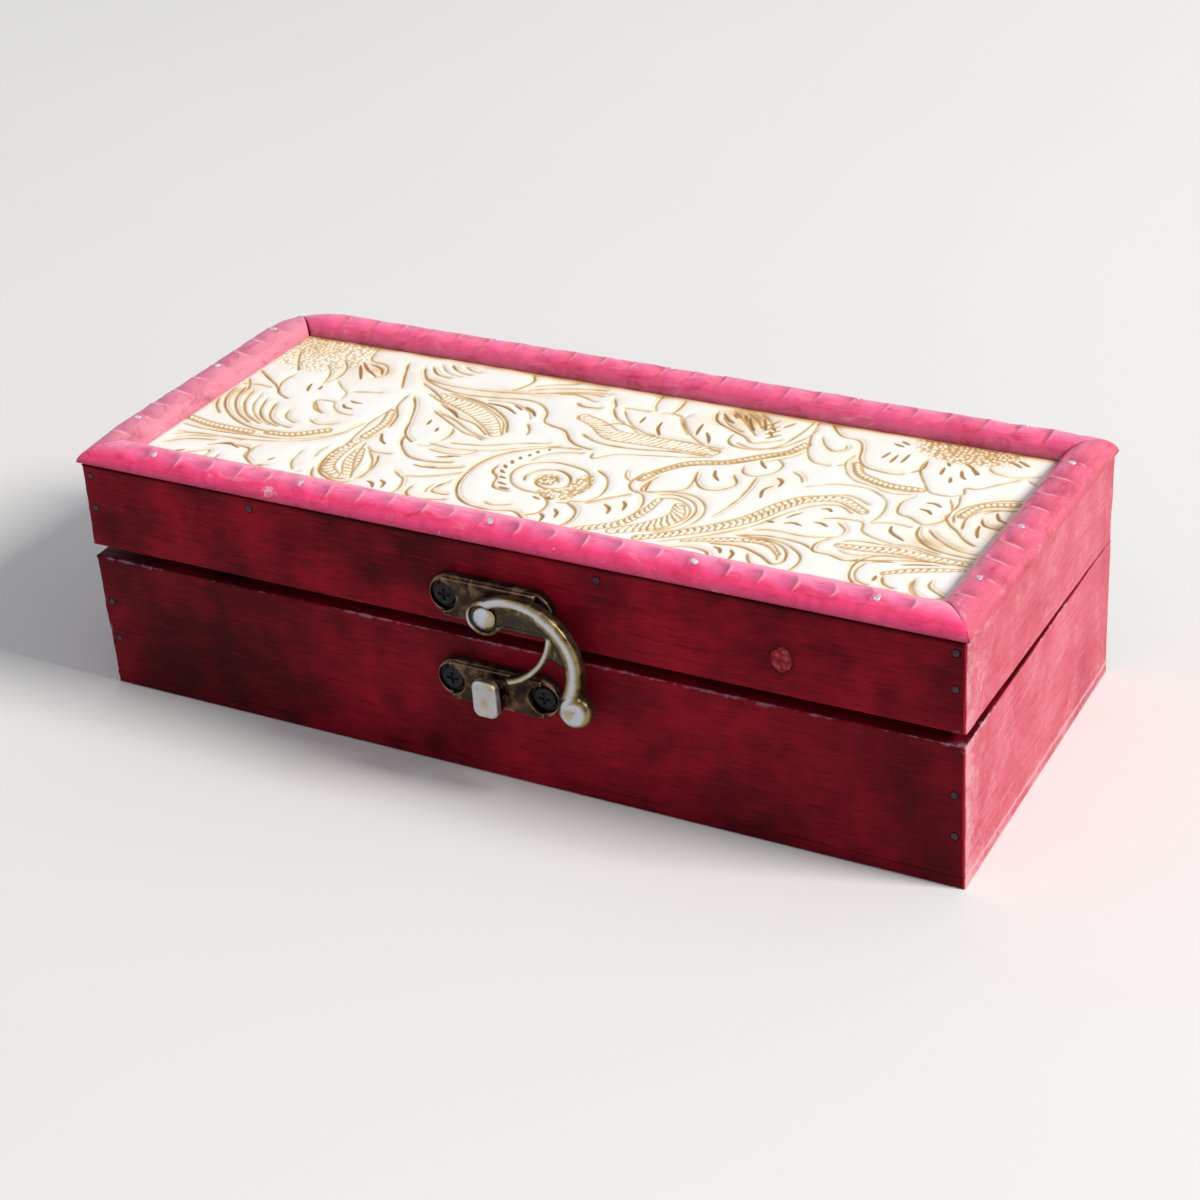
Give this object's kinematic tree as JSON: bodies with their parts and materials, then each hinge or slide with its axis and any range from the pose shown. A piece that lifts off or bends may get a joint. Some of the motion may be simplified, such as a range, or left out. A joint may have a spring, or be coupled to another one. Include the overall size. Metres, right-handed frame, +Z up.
{
  "type": "pen box",
  "caption": "Long red-stained wooden pen box with a hinged lid, a tooled cream leather panel framed in carved moulding, and a swing-hook clasp.",
  "frame": {"origin": "centre of the underside of the bottom panel", "axes": "+X along the length to the right seen from the clasp side, +Y towards the hinges, +Z up"},
  "size_m": [0.2062, 0.0969, 0.0603],
  "materials": {
    "red_wood": "red stain under satin varnish, blotchy, worn pale at the edges",
    "red_panel": "thin red-stained panel, matt",
    "moulding_red": "carved moulding, red stain, satin",
    "tooled_leather": "cream tooled leather with tan antiquing in the lines",
    "felt": "felt",
    "antique_brass": "cast, antiqued, rubbed bright on high spots",
    "dark_screw": "blackened cross-head screw",
    "hinge_brass": "stamped, dulled",
    "hinge_pin_steel": "drawn wire",
    "hinge_screw": "slotted countersunk screw, dulled",
    "brad_steel": "small headed brad, stained over",
    "pin_white": "bright pin head"
  },
  "bodies": {
    "base": {"base_front_board": "red_wood", "base_back_board": "red_wood", "base_left_board": "red_wood", "base_right_board": "red_wood", "base_bottom_panel": "red_panel", "base_floor_lining": "felt", "base_corner_brads": "brad_steel", "base_bottom_brads": "brad_steel", "clasp_catch_plate": "antique_brass", "clasp_catch_screws": "dark_screw", "hinge_left_base_leaf": "hinge_brass", "hinge_right_base_leaf": "hinge_brass", "hinge_left_pin": "hinge_pin_steel", "hinge_right_pin": "hinge_pin_steel", "hinge_base_screws": "hinge_screw"},
    "lid": {"lid_front_board": "red_wood", "lid_back_board": "red_wood", "lid_left_board": "red_wood", "lid_right_board": "red_wood", "lid_top_panel": "red_panel", "lid_embossed_sheet": "tooled_leather", "moulding_front": "moulding_red", "moulding_back": "moulding_red", "moulding_left": "moulding_red", "moulding_right": "moulding_red", "moulding_pins": "pin_white", "lid_corner_brads": "brad_steel", "lid_panel_brads": "brad_steel", "clasp_hook_plate": "antique_brass", "clasp_hook_screws": "dark_screw", "clasp_pivot_rivet": "antique_brass", "hinge_left_lid_leaf": "hinge_brass", "hinge_right_lid_leaf": "hinge_brass", "hinge_lid_screws": "hinge_screw"},
    "clasp_hook": {"clasp_hook": "antique_brass"}
  },
  "joints": [
    {"name": "lid_hinge", "type": "hinge", "parent": "base", "child": "lid", "pos_m": [0, 0.0445, 0.03308], "axis": [-1, 0, 0], "range_deg": [-1.75, 175]},
    {"name": "hook_swing", "type": "hinge", "parent": "lid", "child": "clasp_hook", "pos_m": [0.0011, -0.04568, 0.04176], "axis": [0, -0.9995, 0.0305], "range_deg": [-18, 150]}
  ]
}
